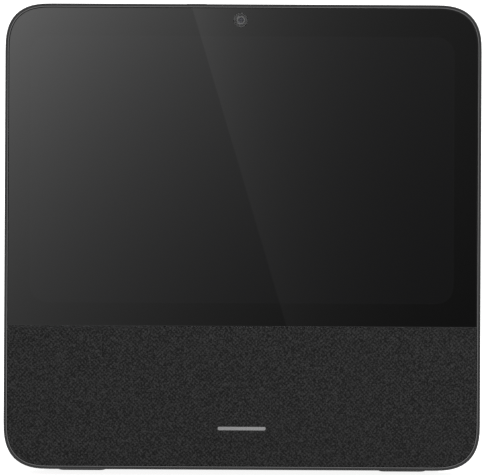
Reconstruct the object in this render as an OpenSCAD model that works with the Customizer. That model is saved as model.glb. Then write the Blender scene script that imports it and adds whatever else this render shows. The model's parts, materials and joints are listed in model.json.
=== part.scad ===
// Table-top smart display: a near-square slab that leans back, with a glass screen above
// a fabric speaker panel, a metal band round its edge and a wedge-shaped box behind it.
//
// X runs to the right, Y runs to the back and Z runs up, in millimetres. The origin is on the
// table, under the middle of the whole object. Pieces of the slab are drawn upright inside
// face(), where Y is the depth behind the face and Z is the height along it.

/* [Body] */
// Width across the metal band
body_w = 244.6; // [236:0.2:300]
// Height of the face, measured along its slope
face_h = 239; // [234:0.5:300]
// Depth of the slab, from its face to its flat back
slab_t = 18; // [17:0.5:24]
// Radius of the slab's corners, seen from the front
corner_r = 19; // [12:0.5:26]
// Angle at which the face leans back
lean = 10; // [6:0.5:14]
// Depth of the foot print, from the lower front edge to the heel of the wedge
base_d = 80; // [74:1:110]

/* [Band and cover] */
// Wall of the metal band
band_t = 1.7; // [1.4:0.1:2.4]
// Wall of the plastic rear cover
cover_t = 2.2; // [1.8:0.1:3]
// Width of the wedge-shaped box
wedge_w = 204; // [200:1:216]
// Height along the slab's back at which the wedge dies out
wedge_h = 178; // [150:1:190]
// Radius of the wedge's heel, above the table
heel_r = 10; // [6:1:16]
// Radius of the wedge's upper corners
wedge_r = 22; // [10:1:30]

/* [Glass and display] */
// Thickness of the cover glass
glass_t = 1.1; // [0.7:0.1:1.8]
// Gap between the band and the glass or the fabric
edge_gap = 0.2; // [0.1:0.05:0.4]
// Width of the lit picture
screen_w = 217; // [210:0.5:226]
// Height of the lit picture
screen_h = 136.4; // [130:0.2:146]
// Distance from the top edge down to the lit picture
screen_top = 16.8; // [14:0.1:22]
// Offset of the display from the centre line
screen_x = -0.4; // [-1:0.1:1]
// Depth of the backlight tray
tray_t = 3.2; // [2.4:0.1:4]
// Distance of the camera from the centre line
camera_x = -1.5; // [-6:0.1:6]
// Distance from the top edge down to the camera
camera_top = 8.1; // [7:0.1:9]

/* [Speaker panel] */
// Height of the seam between the glass and the fabric
seam_v = 73.3; // [72:0.1:80]
// Height of the open seam itself
seam_gap = 0.5; // [0.3:0.1:0.8]
// Thickness of the fabric
fabric_t = 0.7; // [0.5:0.1:1.2]
// Thickness of the perforated carrier under the fabric
carrier_t = 2; // [1.4:0.1:2.6]
// Width of the carrier's square holes
hole_w = 4.2; // [2.5:0.1:5]
// Spacing of the carrier's holes
hole_pitch = 6; // [5.6:0.2:9]

/* [Speakers] */
// Width of the sealed speaker box
box_w = 192; // [188:1:196]
// Height of the sealed speaker box
box_h = 58; // [56:1:60]
// Height of the speaker box above the slab's lower edge
box_v = 9; // [9:0.5:11]
// Depth of the speaker box
box_d = 38; // [32:1:42]
// Wall of the speaker box
box_t = 2.4; // [1.8:0.1:3]
// Distance of each driver from the centre line
driver_x = 60; // [56:1:64]
// Radius of a driver's flange
driver_r = 25; // [24:0.5:26]
// Radius of a driver's paper cone
cone_r = 17.5; // [15:0.5:18]
// Radius of the bass radiator's flange
bass_r = 21; // [19:0.5:23]
// Travel of a cone or of the bass radiator, each way
cone_travel = 1.5; // [0.5:0.1:2]

/* [Keys] */
// Length of a key cap
key_l = 10.5; // [8:0.5:14]
// Width of a key cap
key_w = 4; // [3:0.1:4.6]
// Travel of a key
key_travel = 0.3; // [0.2:0.05:0.7]
// Running gap round a key cap
key_gap = 0.15; // [0.1:0.05:0.25]
// Height of the mute key above the band
mute_proud = 0.35; // [0.1:0.05:1.6]
// Position of the mute key along the top edge
mute_x = -24.1; // [-60:0.1:-16]
// Height of the volume keys above the rear cover
volume_proud = 0.5; // [0.2:0.05:0.8]
// Position of the middle of the volume key pair
volume_x = 66; // [50:1:80]
// Distance between the two volume keys
volume_step = 16; // [15:1:24]
// Distance from the top edge down to the volume keys
volume_top = 30; // [24:1:40]

/* [Feet and inlet] */
// Length of a rubber foot
foot_l = 24; // [16:1:34]
// Distance of each foot from the centre line
foot_x = 82.3; // [60:0.1:86]
// Depth of a front foot
foot_d = 12; // [8:0.5:16]
// Height of the base above the table
foot_proud = 0.7; // [0.5:0.1:2]
// Position of the power inlet from the centre line
inlet_x = -62; // [-80:1:-30]
// Height of the power inlet up the rear wall
inlet_up = 26; // [20:1:40]
// Radius of the inlet's socket
inlet_r = 2.85; // [2.4:0.05:3.2]
// Radius of the inlet's centre pin
pin_r = 1; // [0.6:0.05:1.3]

/* [Hidden] */

$fn = 64;
// Overlap that keeps cuts clean
cut = 1;

// The face's lower front edge, from which the slab is drawn
face_z = foot_proud + slab_t * sin(lean);
face_y = -max(base_d, slab_t * cos(lean) + face_h * sin(lean)) / 2;

// Place in the side view of a point of the slab: depth w behind its face, height v along it
function world(w, v) = [
    face_y + w * cos(lean) + v * sin(lean),
    face_z - w * sin(lean) + v * cos(lean)];

// Depths behind the face of the layers of the slab
glass_y = 0.2;
touch_y = glass_y + glass_t;
touch_t = 0.4;
cell_y = touch_y + touch_t;
cell_t = 1.5;
tray_y = cell_y + cell_t;
plate_y = tray_y + tray_t;
plate_t = 1.6;
plate_back = plate_y + plate_t;
tape_t = 0.8;
ledge_w = 2.4;
cover_set = 0.2;
cover_back = slab_t - cover_set;
cover_y = cover_back - cover_t;
lip_t = 1.6;

// Screen and panel edges
inner_w = body_w - 2 * band_t;
inner_top = face_h - band_t;
inner_r = corner_r - band_t;
panel_w = inner_w - 2 * edge_gap;
panel_r = inner_r - edge_gap;
panel_top = inner_top - edge_gap;
glass_v = seam_v + seam_gap / 2;
fabric_top = seam_v - seam_gap / 2;
fabric_v = band_t + edge_gap;
sharp_r = 0.8;
screen_v = face_h - screen_top - screen_h / 2;
tray_rim = 2.2;
touch_rim = 1.6;
camera_v = face_h - camera_top;

// Camera and flat cables, with the slots that they pass through
camera_body = 9;
camera_gap = 0.2;
lens_r = 2.3;
lens_t = 1.6;
lens_ball_r = 4.2;
barrel_r = 3.3;
foil_t = 0.2;
camera_foil_w = 8;
display_foil_w = 34;
foil_gap = 1;
slot_h = 1.6;
tray_top = screen_v + screen_h / 2 + tray_rim;
camera_slot_v = (tray_top + camera_v - camera_body / 2) / 2;
display_slot_v = screen_v - screen_h / 2 - tray_rim - 2;
foil_landing = 5;

// Plain bar on the fabric
badge_l = 24.6;
badge_h = 3.2;
badge_t = 0.15;
badge_v = 21.2;

// Speaker panel and speakers
carrier_y = glass_y + fabric_t;
carrier_w = panel_w - 2 * fabric_t;
baffle_y = plate_back;
box_mid = box_v + box_h / 2;
window_rim = 4;
opening_rim = 3.5;
ear_out = 2.4;
ear_step = 18;
ear_r = 3.6;
flange_t = 1.6;
roll_gap = 0.4;
roll_r = 1.7;
roll_t = 0.4;
cone_t = 0.5;
cone_depth = 8;
cone_rim = 1.2;
cone_edge = 1;
cap_set = 1.4;
cap_rise = 2;
cap_t = 0.6;
neck_w = 1.8;
coil_reach = 4;
coil_r = 6.1;
coil_t = 0.25;
pole_r = 5.6;
gap_r = 6.5;
basket_depth = 12;
magnet_r = 15;
magnet_t = 6;
yoke_t = 2.5;
bass_plate_r = bass_r - 8;
screw_head_r = 1.4;
screw_head_t = 0.9;
thin_screw_r = 0.8;
basket_web = 5;
basket_wall = 1.4;
basket_lip = 0.8;
basket_end = 2;
basket_gap = 0.1;
magnet_gap = 1.5;
magnet_step = 1;
head_gap = 0.1;
bass_rim = 4.6;
basket_base_t = 1.5;
spider_t = 0.4;
spider_gap = 0.3;
spider_waves = 3;
spider_dip = 0.5;
radiator_t = 3;
screw_ring = driver_r - screw_head_r - 0.5;

// Main board, which stands on posts behind the plate
board_w = 132;
board_h = 84;
board_v = 138;
board_t = 1.2;
post_h = 3;
post_r = 3;
board_y = plate_back + post_h;
board_edge = 5;
shield_t = 2.2;
pad_t = 0.5;
screw_r = 1.2;
head_r = 2.4;
head_t = 1.4;
chip = [40, 34];
chip_x = -22;
chip_v = board_v + 1;
radio = [30, 26];
radio_x = 28;
radio_v = board_v - 12;
pad_edge = 3;
sink_w = 80;
sink_h = 44;
sink_t = 1.5;
sink_y = board_y + board_t + shield_t + pad_t;
sink_v = board_v - 4;
fin_t = 1.2;
fin_h = 5.5;
fin_pitch = 6;
fins_each_side = 6;
antenna = [44, 0.3, 9];
antenna_x = 82;
antenna_top = 17;

// Keys, and the boards that their switches stand on
flange_h = 1.2;
flange_rim = 0.8;
stem_r = 1.2;
stem_h = 1;
rest_gap = 0.05;
switch_h = 1.4;
switch_l = 4;
switch_w = 3;
mute_set = 0.6;
mute_y = plate_back + mute_set + flange_rim + key_w / 2;
top_board_w = 124;
top_board_gap = 0.4;
top_board_d = cover_y - plate_back - top_board_gap;
top_board_side = 2;
top_board_t = 1;
key_stack = rest_gap + flange_h + stem_h + key_travel + rest_gap + switch_h;
top_board_v = inner_top - key_stack;
mic_x = 46;
mic_r = 0.6;
sleeve_r = 2.2;
volume_v = face_h - volume_top;
volume_board_y = cover_y - key_stack;
volume_board_h = 10;
volume_posts = [volume_x - volume_step - 4, volume_x + volume_step + 4];

// Wedge in the side view: its rear wall runs from the slab's back down to the round heel
heel = [face_y + base_d - heel_r, foot_proud + heel_r];
wall_top = world(slab_t, wedge_h);
wall_run = wall_top - heel;
rear_lean = atan(-wall_run[0] / wall_run[1]) + asin(heel_r / norm(wall_run));
heel_out = heel + heel_r * [cos(rear_lean), sin(rear_lean)];
toe_set = 0.6;
inner_set = 0.4;
wedge_over = 4;
wedge_low_r = 2;
heel_y = heel_out[0] + (heel_out[1] - foot_proud) * tan(rear_lean);

// Cover screws stand in the flat strips beside the wedge
cover_screw_x = (wedge_w / 2 + inner_w / 2) / 2;
cover_screw_v = [24, face_h / 2 + 14, face_h - 20];
cover_post_r = 3.2;
recess_t = 1;
recess_gap = 0.2;
screw_bite = 4;
cover_head_t = 0.8;
bit_r = 0.9;
bit_depth = 0.6;

// Cooling slots, upright and in one row
vent_l = 22;
vent_w = 2;
vent_pitch = 5.5;
vents_each_side = 12;
vent_up = wedge_h - 52;

// Inlet
collar_r = 4.2;
inlet_body = 11;
inlet_back = 12;
inlet_depth = 9.5;
inlet_set = 0.6;

// Feet, let into the base
foot_in = 1;
foot_corner_r = 3;
rear_foot_d = 10;
front_foot_y = world(slab_t, 0)[0] + 0.5;
rear_foot_y = heel_y - heel_r - rear_foot_d - 2;

// Leads
lead_r = 1.2;
lead_out = 4;
lead_x = inlet_x + 6;
lead_v = board_v - board_h / 2 + 4;
wire_r = 0.8;
wire_x = 26;
wire_depth = 14;
wire_rise = 3;

// Shape helpers

module face() {
    translate([0, face_y, face_z]) rotate([-lean, 0, 0]) children();
}

// Turns a revolved or extruded shape so that its +Z points out of the face
module facing(x, y, v) {
    translate([x, y, v]) rotate([90, 0, 0]) children();
}

// Stands on the rear wall of the wedge: +Y points out of the wall and +Z runs up it
module on_rear_wall() {
    translate([0, heel_y, foot_proud]) rotate([rear_lean, 0, 0]) children();
}

// Upright plate from depth y to depth y + t, with one radius below and one above
module plate(w, low, high, r_low, r_high, y, t) {
    translate([0, y + t, 0]) rotate([90, 0, 0]) linear_extrude(t)
        plate_outline(w, low, high, r_low, r_high);
}

module plate_outline(w, low, high, r_low, r_high) {
    translate([-w / 2, low + r_low]) square([w, high - low - r_low - r_high]);
    translate([-w / 2 + r_low, low]) square([w - 2 * r_low, r_low * 1.5]);
    translate([-w / 2 + r_high, high - r_high * 1.5]) square([w - 2 * r_high, r_high * 1.5]);
    for (side = [-1, 1]) {
        translate([side * (w / 2 - r_low), low + r_low]) circle(r_low);
        translate([side * (w / 2 - r_high), high - r_high]) circle(r_high);
    }
}

// Plate that fills the band, less an inset all round
module slab_plate(inset, y, t) {
    r = corner_r - inset;
    plate(body_w - 2 * inset, inset, face_h - inset, r, r, y, t);
}

// Box given by its middle in X and V, and its depth from y to y + t
module slab_box(x, y, v, w, t, h) {
    translate([x - w / 2, y, v - h / 2]) cube([w, t, h]);
}

// Flat ended slot, rounded at both ends, standing on its middle
module pill(l, w, h) {
    linear_extrude(h) {
        square([l - w, w], center = true);
        for (side = [-1, 1]) translate([side * (l - w) / 2, 0]) circle(w / 2);
    }
}

// Wire of straight stretches between points
module wire(points, r) {
    for (i = [0 : len(points) - 2]) {
        run = points[i + 1] - points[i];
        translate(points[i])
            rotate([0, acos(run[2] / norm(run)), atan2(run[1], run[0])])
                cylinder(r = r, h = norm(run));
        if (i > 0) translate(points[i]) sphere(r * 1.06);
    }
}

// Flat cable: out of a piece at depth y_a, through the plate at height v_a, then to the board
module flat_cable(x, w, y_a, v_start, v_a, v_end) {
    y_b = board_y - foil_t;
    slab_box(x, y_a, (v_start + v_a) / 2, w, foil_t, abs(v_start - v_a));
    slab_box(x, y_a, v_a, w, board_y - y_a, foil_t);
    slab_box(x, y_b, (v_a + v_end) / 2, w, foil_t, abs(v_end - v_a));
}

// Frame, glass and display

module frame_band() color("dimgray") face() difference() {
    slab_plate(0, 0, slab_t);
    slab_plate(band_t, -cut, slab_t + 2 * cut);
    translate([mute_x, mute_y, inner_top - cut])
        pill(key_l + 2 * key_gap, key_w + 2 * key_gap, band_t + 2 * cut);
    for (side = [-1, 1]) translate([side * mic_x, mute_y, inner_top - cut])
        cylinder(r = mic_r, h = band_t + 2 * cut);
}

module cover_glass() color([0.12, 0.12, 0.13]) face()
    plate(panel_w, glass_v, panel_top, sharp_r, panel_r, glass_y, glass_t);

module touch_sensor() color("silver") face() slab_box(
    screen_x, touch_y, screen_v, screen_w + 2 * touch_rim, touch_t, screen_h + 2 * touch_rim);

module lcd_cell() color([0.1, 0.1, 0.12]) face() slab_box(
    screen_x, cell_y, screen_v, screen_w + 2 * touch_rim, cell_t, screen_h + 2 * touch_rim);

module backlight_tray() color("gainsboro") face() slab_box(
    screen_x, tray_y, screen_v, screen_w + 2 * tray_rim, tray_t, screen_h + 2 * tray_rim);

// Ring under the edge of the glass
module glass_ring(y, t) {
    inset = ledge_w + edge_gap;
    difference() {
        plate(panel_w, glass_v, panel_top, sharp_r, panel_r, y, t);
        plate(panel_w - 2 * inset, glass_v + inset, panel_top - inset,
              sharp_r, panel_r - inset, y - cut, t + 2 * cut);
    }
}

module display_gasket() color([0.15, 0.15, 0.15]) face() glass_ring(touch_y, tape_t);

module mid_chassis() color("slategray") face() difference() {
    union() {
        slab_plate(band_t, plate_y, plate_t);
        glass_ring(touch_y + tape_t, plate_y - touch_y - tape_t);
        for (x = [-1, 1], v = [-1, 1]) board_post(x, v) cylinder(r = post_r, h = post_h);
        for (x = [-1, 1], v = cover_screw_v) facing(x * cover_screw_x, cover_y, v)
            cylinder(r = cover_post_r, h = cover_y - plate_back);
        for (x = volume_posts) facing(x, volume_board_y - board_t, volume_v)
            cylinder(r = post_r, h = volume_board_y - board_t - plate_back);
    }
    slab_box(0, plate_y - cut, box_mid,
             box_w - 2 * window_rim, plate_t + 2 * cut, box_h - 2 * window_rim);
    foil_slot(camera_x, camera_slot_v, camera_foil_w);
    slab_box(camera_x, touch_y, camera_v, camera_body + 2 * camera_gap, plate_y - touch_y,
             camera_body + 2 * camera_gap);
    foil_slot(screen_x, display_slot_v, display_foil_w);
    for (x = [-1, 1], v = [-1, 1]) board_post(x, v)
        translate([0, 0, -cut]) cylinder(r = screw_r, h = post_h + plate_t);
    for (x = [-1, 1], v = cover_screw_v) facing(x * cover_screw_x, cover_y + cut, v)
        cylinder(r = screw_r, h = cover_y - plate_back + cut);
    for (x = [-1, 1], v = [-1, 1]) box_ear(x, v)
        translate([0, 0, -cut]) cylinder(r = screw_r, h = plate_t + 2 * cut);
}

// Slot in the chassis plate for a flat cable of width w
module foil_slot(x, v, w) {
    slab_box(x, plate_y - cut, v, w + 2 * foil_gap, plate_t + 2 * cut, slot_h);
}

// Centre of a board post, on the board's front face, pointing out of the face
module board_post(x, v) {
    facing(x * (board_w / 2 - board_edge), board_y, board_v + v * (board_h / 2 - board_edge))
        children();
}

module camera_module() color([0.2, 0.2, 0.2]) face() difference() {
    union() {
        slab_box(camera_x, cell_y + cell_t, camera_v, camera_body, tray_t, camera_body);
        facing(camera_x, cell_y + cell_t, camera_v)
            cylinder(r = barrel_r, h = cell_y + cell_t - touch_y);
    }
    facing(camera_x, cell_y + cell_t, camera_v) cylinder(r = lens_r, h = tray_t);
}

module camera_lens() color("midnightblue") face()
    facing(camera_x, cell_y + cell_t, camera_v) intersection() {
        cylinder(r = lens_r, h = lens_t);
        translate([0, 0, lens_t - lens_ball_r]) sphere(lens_ball_r);
    }

module camera_flex() color("orange") face() flat_cable(
    camera_x, camera_foil_w, plate_y - 2 * foil_t, camera_v - camera_body / 2,
    camera_slot_v, board_v + board_h / 2 - foil_landing);

module display_flex() color("orange") face() flat_cable(
    screen_x, display_foil_w, cell_y + 3 * foil_t, screen_v - screen_h / 2 - touch_rim,
    display_slot_v, board_v - board_h / 2 + foil_landing);

// Fabric panel

module grille_carrier() color([0.18, 0.18, 0.19]) face() {
    top = fabric_top - fabric_t;
    low = fabric_v + fabric_t;
    r = panel_r - fabric_t;
    difference() {
        plate(carrier_w, low, top, r, sharp_r, carrier_y, plate_y - carrier_y);
        plate(carrier_w - 2 * carrier_t, low + carrier_t, top - carrier_t,
              r - carrier_t, sharp_r, carrier_y + carrier_t, plate_y);
        facing(0, carrier_y + carrier_t + cut, 0) linear_extrude(carrier_t + 2 * cut)
            hole_field(carrier_w - 2 * r, top - low - 2 * (carrier_t + hole_w));
    }
}

module hole_field(w, h) {
    columns = floor(w / hole_pitch);
    rows = floor(h / hole_pitch);
    mid = (fabric_top + fabric_v) / 2;
    for (i = [0 : columns - 1], j = [0 : rows - 1])
        translate([(i - (columns - 1) / 2) * hole_pitch, mid + (j - (rows - 1) / 2) * hole_pitch])
            square(hole_w, center = true);
}

module grille_fabric() color([0.17, 0.17, 0.18]) face() difference() {
    plate(panel_w, fabric_v, fabric_top, panel_r, sharp_r, glass_y, plate_y - glass_y - 1);
    plate(carrier_w, fabric_v + fabric_t, fabric_top - fabric_t,
          panel_r - fabric_t, sharp_r, carrier_y, plate_y);
}

module badge() color("silver") face()
    facing(0, glass_y, badge_v) pill(badge_l, badge_h, badge_t);

// Speaker box and speakers

module box_ear(x, v) {
    facing(x * (box_w / 2 + ear_out), baffle_y, box_mid + v * ear_step) children();
}

module speaker_box() color([0.13, 0.13, 0.14]) face() difference() {
    union() {
        slab_box(0, baffle_y, box_mid, box_w, box_d - box_t, box_h);
        for (x = [-1, 1], v = [-1, 1]) box_ear(x, v)
            translate([0, 0, -box_t]) cylinder(r = ear_r, h = box_t);
    }
    slab_box(0, baffle_y + box_t, box_mid, box_w - 2 * box_t, box_d, box_h - 2 * box_t);
    for (side = [-1, 1]) facing(side * driver_x, baffle_y + box_t + cut, box_mid)
        cylinder(r = driver_r - opening_rim, h = box_t + 2 * cut);
    facing(0, baffle_y + box_t + cut, box_mid)
        cylinder(r = bass_r - opening_rim, h = box_t + 2 * cut);
    for (x = [-1, 1], v = [-1, 1]) box_ear(x, v)
        translate([0, 0, -box_t - cut]) cylinder(r = screw_r, h = box_t + 2 * cut);
    for (side = [-1, 1], a = [45 : 90 : 315]) driver(side) rotate([0, 0, a])
        translate([screw_ring, 0, -box_t - cut]) cylinder(r = thin_screw_r, h = box_t + 2 * cut);
}

module speaker_box_lid() color([0.16, 0.16, 0.17]) face() slab_box(
    0, baffle_y + box_d - box_t, box_mid, box_w, box_t, box_h);

// Middle of a driver on the front of the speaker box, pointing out of the face
module driver(side) {
    facing(side * driver_x, baffle_y, box_mid) children();
}

module basket() difference() {
    outside = driver_r - opening_rim - basket_gap;
    inside = outside - basket_wall;
    foot_r = magnet_r - magnet_step;
    union() {
        difference() {
            cylinder(r = driver_r, h = flange_t);
            translate([0, 0, -cut]) cylinder(r = inside, h = flange_t + 2 * cut);
        }
        rotate_extrude() polygon([
            [outside, 0], [outside, -basket_lip], [foot_r, -basket_depth],
            [foot_r, -basket_depth - basket_base_t], [gap_r, -basket_depth - basket_base_t],
            [gap_r, -basket_depth], [foot_r - basket_wall, -basket_depth],
            [inside, -basket_lip], [inside, flange_t / 2], [outside, flange_t / 2]]);
    }
    for (a = [0 : 90 : 270]) rotate([0, 0, a])
        translate([driver_r / 2, -basket_web, basket_end - basket_depth])
            cube([driver_r, 2 * basket_web, basket_depth - 2 * basket_end]);
    for (a = [45 : 90 : 315]) rotate([0, 0, a]) translate([screw_ring, 0, -cut])
        cylinder(r = thin_screw_r, h = flange_t + 2 * cut);
}

module magnet() translate([0, 0, -basket_depth - basket_base_t]) {
    difference() {
        translate([0, 0, -magnet_t]) cylinder(r = magnet_r, h = magnet_t);
        translate([0, 0, -magnet_t]) cylinder(r = gap_r + magnet_gap, h = magnet_t + cut);
    }
    translate([0, 0, -magnet_t - yoke_t]) cylinder(r = magnet_r - magnet_step, h = yoke_t);
    translate([0, 0, -magnet_t]) cylinder(r = pole_r, h = magnet_t);
}

// Paper cone with its coil below and its dust cap inside, in one
module cone() {
    cap_low = cap_set - cone_depth;
    coil_end = -basket_depth - coil_reach;
    rotate_extrude() polygon([
        [cone_r, cone_rim], [cone_r, cone_rim - cone_t], [coil_r + coil_t, -cone_depth],
        [coil_r + coil_t, coil_end], [coil_r, coil_end], [coil_r, cap_low],
        [0, cap_low + cap_rise], [0, cap_low + cap_rise + cap_t],
        [coil_r + neck_w, cap_low + cap_t], [cone_r - cone_edge, cone_rim]]);
}

// Half-round roll from radius a outwards, with a flat foot on the flange as far as radius rim
module roll(a, rim) rotate_extrude() {
    translate([a + roll_r, flange_t]) difference() {
        circle(roll_r);
        circle(roll_r - roll_t);
        translate([-2 * roll_r, -2 * roll_r]) square([4 * roll_r, 2 * roll_r]);
    }
    translate([a + 2 * roll_r - roll_t, flange_t]) square([rim - a - 2 * roll_r + roll_t, roll_t]);
}

// Corrugated ring round the coil, on a foot; the cone's neck stays above it at full travel
module spider() translate([0, 0, -basket_depth]) {
    top = basket_depth - cone_depth - cone_travel - spider_gap;
    neck = coil_r + coil_t + spider_gap;
    rim = magnet_r - 3;
    rotate_extrude() {
        for (i = [0 : spider_waves - 1]) translate([neck + (rim - neck) * i / spider_waves, 0])
            spider_wave((rim - neck) / spider_waves, top);
        translate([rim, 0]) square([spider_t, top]);
    }
}

module spider_wave(run, top) polygon([
    [0, top - spider_t], [0, top], [run / 2, top - spider_dip], [run + spider_t / 2, top],
    [run + spider_t / 2, top - spider_t], [run / 2, top - spider_dip - spider_t]]);

module left_basket() color("darkgray") face() driver(-1) basket();
module left_magnet() color([0.25, 0.25, 0.27]) face() driver(-1) magnet();
module left_cone() color([0.3, 0.3, 0.3]) face() driver(-1) cone();
module left_surround() color([0.1, 0.1, 0.1]) face()
    driver(-1) roll(cone_r + roll_gap, screw_ring - screw_head_r - head_gap);
module left_spider() color("goldenrod") face() driver(-1) spider();
module right_basket() color("darkgray") face() driver(1) basket();
module right_magnet() color([0.25, 0.25, 0.27]) face() driver(1) magnet();
module right_cone() color([0.3, 0.3, 0.3]) face() driver(1) cone();
module right_surround() color([0.1, 0.1, 0.1]) face()
    driver(1) roll(cone_r + roll_gap, screw_ring - screw_head_r - head_gap);
module right_spider() color("goldenrod") face() driver(1) spider();

module bass_frame() color([0.2, 0.2, 0.21]) face() facing(0, baffle_y, box_mid) difference() {
    cylinder(r = bass_r, h = flange_t);
    translate([0, 0, -cut]) cylinder(r = bass_r - bass_rim, h = flange_t + 2 * cut);
}

module bass_radiator() color([0.28, 0.28, 0.28]) face() facing(0, baffle_y, box_mid) {
    cylinder(r = bass_plate_r, h = flange_t);
    translate([0, 0, -radiator_t]) cylinder(r = bass_plate_r / 2, h = radiator_t);
}

module bass_surround() color([0.1, 0.1, 0.1]) face()
    facing(0, baffle_y, box_mid) roll(bass_plate_r + roll_gap, bass_r - 1);

module speaker_screws() color("gray") face() for (side = [-1, 1], a = [45 : 90 : 315])
    driver(side) rotate([0, 0, a]) translate([screw_ring, 0, 0]) {
        translate([0, 0, flange_t]) cylinder(r = screw_head_r, h = screw_head_t);
        translate([0, 0, -box_t]) cylinder(r = thin_screw_r, h = flange_t + box_t);
    }

module box_screws() color("gray") face() for (x = [-1, 1], v = [-1, 1]) box_ear(x, v) {
    translate([0, 0, -box_t - head_t]) cylinder(r = head_r, h = head_t);
    translate([0, 0, -box_t]) cylinder(r = screw_r, h = box_t + plate_t);
}

// Electronics

module main_board() color("darkgreen") face() difference() {
    slab_box(0, board_y, board_v, board_w, board_t, board_h);
    for (x = [-1, 1], v = [-1, 1]) board_post(x, v)
        translate([0, 0, -board_t - cut]) cylinder(r = screw_r, h = board_t + 2 * cut);
}

module board_shields() color("lightgray") face() {
    slab_box(chip_x, board_y + board_t, chip_v, chip[0], shield_t, chip[1]);
    slab_box(radio_x, board_y + board_t, radio_v, radio[0], shield_t, radio[1]);
}

module thermal_pad() color("lightblue") face()
    slab_box(chip_x, board_y + board_t + shield_t, chip_v,
             chip[0] - 2 * pad_edge, pad_t, chip[1] - 2 * pad_edge);

module heat_sink() color("silver") face() {
    slab_box(chip_x, sink_y, sink_v, sink_w, sink_t, sink_h);
    for (i = [-fins_each_side : fins_each_side])
        slab_box(chip_x + i * fin_pitch, sink_y + sink_t / 2, sink_v,
                 fin_t, sink_t / 2 + fin_h, sink_h);
}

module board_screws() color("gray") face() for (x = [-1, 1], v = [-1, 1]) board_post(x, v) {
    translate([0, 0, -board_t - head_t]) cylinder(r = head_r, h = head_t);
    translate([0, 0, -board_t]) cylinder(r = screw_r, h = board_t + post_h);
}

module foil_antenna(side) slab_box(side * antenna_x, cover_y - antenna[1], face_h - antenna_top,
                                   antenna[0], antenna[1], antenna[2]);
module left_antenna() color("orange") face() foil_antenna(-1);
module right_antenna() color("orange") face() foil_antenna(1);

module top_board() color("darkgreen") face() {
    translate([-top_board_w / 2, plate_back, top_board_v - top_board_t])
        cube([top_board_w, top_board_d, top_board_t]);
    translate([mute_x - switch_l / 2, mute_y - switch_w / 2, top_board_v])
        cube([switch_l, switch_w, switch_h]);
}

module mic_gaskets() color([0.15, 0.15, 0.15]) face() for (side = [-1, 1])
    translate([side * mic_x, mute_y, top_board_v]) difference() {
        cylinder(r = sleeve_r, h = key_stack);
        translate([0, 0, -cut]) cylinder(r = mic_r, h = key_stack + 2 * cut);
    }

// Key seen from above its cap: cap, retaining flange and stem, pointing out of the body
module key(wall, proud) {
    translate([0, 0, -rest_gap]) pill(key_l, key_w, wall + proud + rest_gap);
    translate([0, 0, -rest_gap - flange_h])
        pill(key_l + 2 * flange_rim, key_w + 2 * flange_rim, flange_h);
    translate([0, 0, -rest_gap - flange_h - stem_h]) cylinder(r = stem_r, h = stem_h);
}

module mute_key() color([0.3, 0.3, 0.3]) face()
    translate([mute_x, mute_y, inner_top]) key(band_t, mute_proud);

module volume_place(side) {
    translate([volume_x + side * volume_step / 2, cover_y, volume_v]) rotate([-90, 0, 0])
        children();
}

module volume_up_key() color([0.3, 0.3, 0.3]) face() volume_place(1) key(cover_t, volume_proud);
module volume_down_key() color([0.3, 0.3, 0.3]) face()
    volume_place(-1) key(cover_t, volume_proud);

module volume_board() color("darkgreen") face() {
    slab_box(volume_x, volume_board_y - board_t, volume_v,
             volume_posts[1] - volume_posts[0] + 2 * post_r, board_t, volume_board_h);
    for (side = [-1, 1])
        slab_box(volume_x + side * volume_step / 2, volume_board_y, volume_v,
                 switch_l, switch_h, switch_w);
}

// Rear cover

// Side view of the wedge in world Y and Z; its toe stands on the band's lower edge
module wedge_side() {
    toe = band_t + toe_set;
    polygon([
        world(cover_back - cut, toe), world(slab_t, toe), world(slab_t, 0), [heel[0], foot_proud],
        heel, heel_out, wall_top, world(cover_back - cut, wedge_h)]);
    translate(heel) circle(heel_r);
}

// Side view of the space inside it, one wall smaller
module wedge_side_inside() {
    low = band_t + lip_t + inner_set;
    r = heel_r - cover_t;
    floor_z = foot_proud + cover_t;
    top_v = wedge_h - cover_t / tan(lean + rear_lean);
    polygon([
        world(cover_y - cut, low), world(slab_t + cover_t, low),
        [world(slab_t + cover_t, low)[0], floor_z], [heel[0], floor_z],
        heel, heel + r * [cos(rear_lean), sin(rear_lean)],
        world(slab_t, top_v), world(cover_y - cut, top_v)]);
    translate(heel) circle(r);
}

module wedge(wall) intersection() {
    translate([-wedge_w / 2 + wall, 0, 0]) rotate([90, 0, 90])
        linear_extrude(wedge_w - 2 * wall) children();
    face() plate(wedge_w - 2 * wall, -slab_t, wedge_h + wedge_over - wall,
                 wedge_low_r, wedge_r - wall, cover_y - 2 * cut, base_d);
}

module rear_cover() color([0.24, 0.24, 0.25]) difference() {
    union() {
        face() slab_plate(band_t, cover_y, cover_t);
        face() difference() {
            slab_plate(band_t, plate_back, cover_y - plate_back);
            slab_plate(band_t + lip_t, plate_back - cut, cover_y - plate_back + 2 * cut);
            slab_box(0, plate_back - cut, face_h, top_board_w + 2 * top_board_side,
                     cover_y - plate_back + cut, 2 * (face_h - top_board_v + top_board_side));
        }
        wedge(0) wedge_side();
    }
    wedge(cover_t) wedge_side_inside();
    for (side = [-1, 1]) face() volume_place(side)
        translate([0, 0, -cut]) pill(key_l + 2 * key_gap, key_w + 2 * key_gap, cover_t + 2 * cut);
    for (x = [-1, 1], v = cover_screw_v) face() {
        facing(x * cover_screw_x, slab_t + cut, v)
            cylinder(r = head_r + recess_gap, h = cut + cover_set + recess_t);
        facing(x * cover_screw_x, slab_t, v) cylinder(r = screw_r, h = cover_t + 2 * cut);
    }
    on_rear_wall() translate([inlet_x, cut, inlet_up]) rotate([90, 0, 0])
        cylinder(r = collar_r, h = cover_t + 2 * cut);
    vents();
    front_feet();
    rear_feet();
}

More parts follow.
